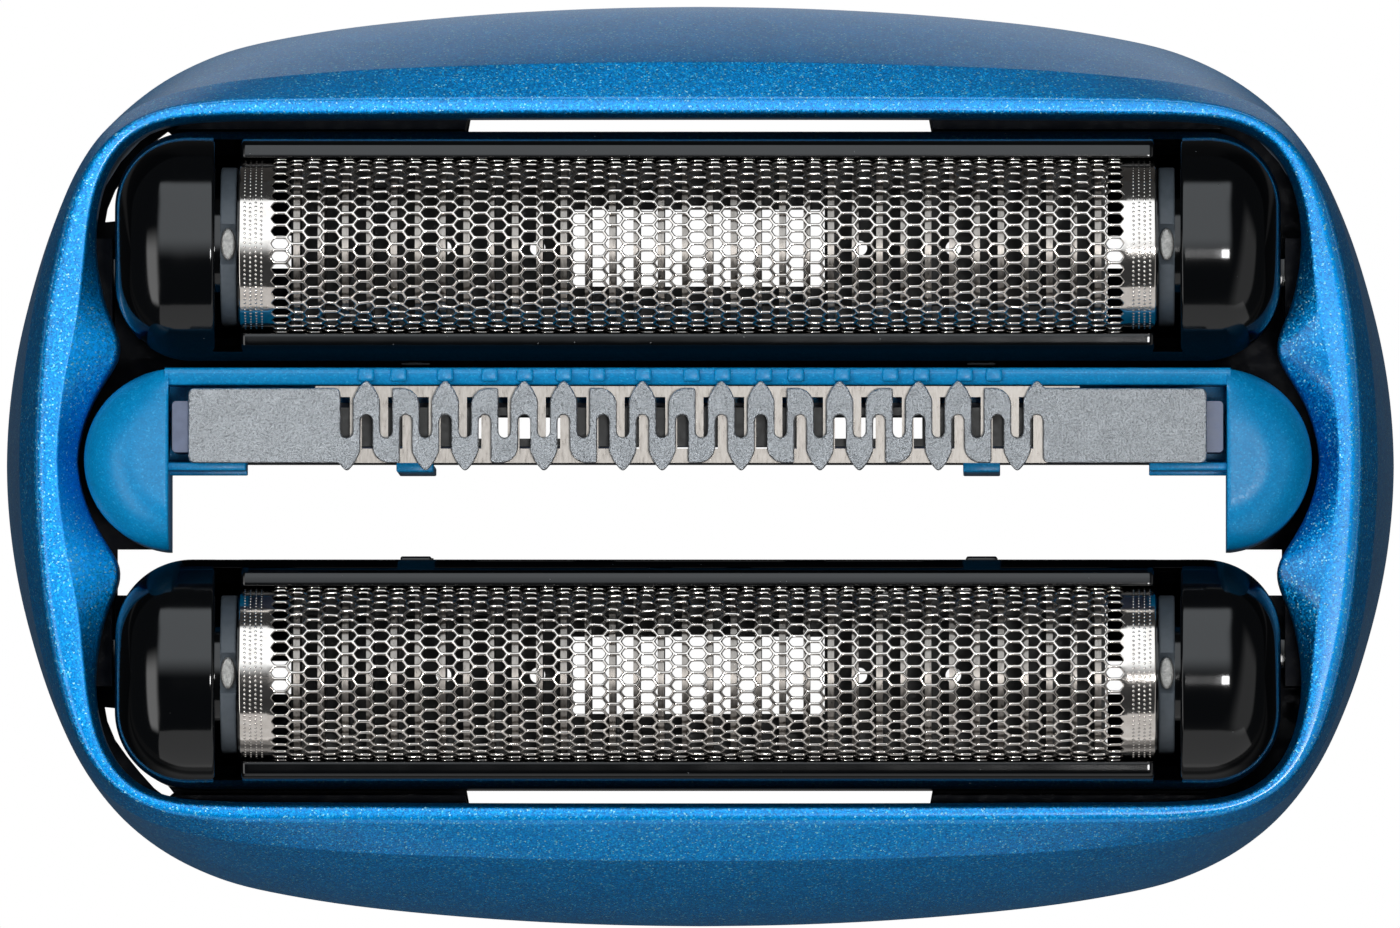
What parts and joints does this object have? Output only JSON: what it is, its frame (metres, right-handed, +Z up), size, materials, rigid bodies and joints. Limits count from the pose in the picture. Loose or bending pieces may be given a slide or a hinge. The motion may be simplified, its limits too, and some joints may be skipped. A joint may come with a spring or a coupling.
{
  "type": "shaver foil head",
  "caption": "Foil and trimmer cassette of an electric shaver: floating arched foils with oscillating lamella cutters beside a toothed trimmer, in a flared blue frame.",
  "frame": {"origin": "middle of the footprint, on the plane of the skirt's bottom rim", "axes": "+X along the foils, +Y towards the rear foil, the one beside the trimmer bar, +Z up out of the foils"},
  "size_m": [0.0542, 0.036, 0.0165],
  "materials": {
    "frame_paint": "blue metallic paint with fine flake on plastic",
    "navy_plastic": "dark navy moulded plastic",
    "holder_black": "glossy black",
    "foil_nickel": "bright nickel",
    "strip_grey": "dark grey",
    "stud_silver": "dull silver",
    "lamella_steel": "ground steel",
    "carrier_dark": "dark moulded plastic",
    "spring_steel": "drawn wire",
    "trimmer_blue": "satin blue",
    "comb_steel": "bead-blasted",
    "bed_grey": "satin grey-violet"
  },
  "bodies": {
    "frame": {"outer_frame": "frame_paint", "inner_frame": "navy_plastic", "rear_foil_springs": "spring_steel", "front_foil_springs": "spring_steel", "trimmer_springs": "spring_steel"},
    "rear_foil_unit": {"rear_foil_holder": "holder_black", "rear_foil": "foil_nickel", "rear_foil_end_strips": "strip_grey", "rear_foil_stakes": "stud_silver"},
    "front_foil_unit": {"front_foil_holder": "holder_black", "front_foil": "foil_nickel", "front_foil_end_strips": "strip_grey", "front_foil_stakes": "stud_silver"},
    "rear_cutter": {"rear_cutter_carrier": "carrier_dark", "rear_cutter_blades": "lamella_steel"},
    "front_cutter": {"front_cutter_carrier": "carrier_dark", "front_cutter_blades": "lamella_steel"},
    "trimmer_unit": {"trimmer_holder": "trimmer_blue", "trimmer_comb": "comb_steel", "comb_bed": "bed_grey", "trimmer_blade_springs": "spring_steel"},
    "trimmer_cutter": {"trimmer_blade": "lamella_steel", "trimmer_blade_driver": "carrier_dark"}
  },
  "joints": [
    {"name": "rear_foil_float", "type": "slide", "parent": "frame", "child": "rear_foil_unit", "axis": [0, 0, 1], "range_m": [-0.0015, 0], "stiffness_N_per_m": 300, "springref_m": 0.002, "deforming": ["rear_foil_springs"]},
    {"name": "front_foil_float", "type": "slide", "parent": "frame", "child": "front_foil_unit", "axis": [0, 0, 1], "range_m": [-0.0015, 0], "stiffness_N_per_m": 300, "springref_m": 0.002, "deforming": ["front_foil_springs"]},
    {"name": "trimmer_float", "type": "slide", "parent": "frame", "child": "trimmer_unit", "axis": [0, 0, 1], "range_m": [-0.0015, 0], "stiffness_N_per_m": 250, "springref_m": 0.002, "deforming": ["trimmer_springs"]},
    {"name": "rear_cutter_stroke", "type": "slide", "parent": "rear_foil_unit", "child": "rear_cutter", "axis": [1, 0, 0], "range_m": [-0.001, 0.001]},
    {"name": "front_cutter_stroke", "type": "slide", "parent": "front_foil_unit", "child": "front_cutter", "axis": [1, 0, 0], "range_m": [-0.001, 0.001]},
    {"name": "trimmer_stroke", "type": "slide", "parent": "trimmer_unit", "child": "trimmer_cutter", "axis": [1, 0, 0], "range_m": [-0.0006, 0.0006]}
  ]
}
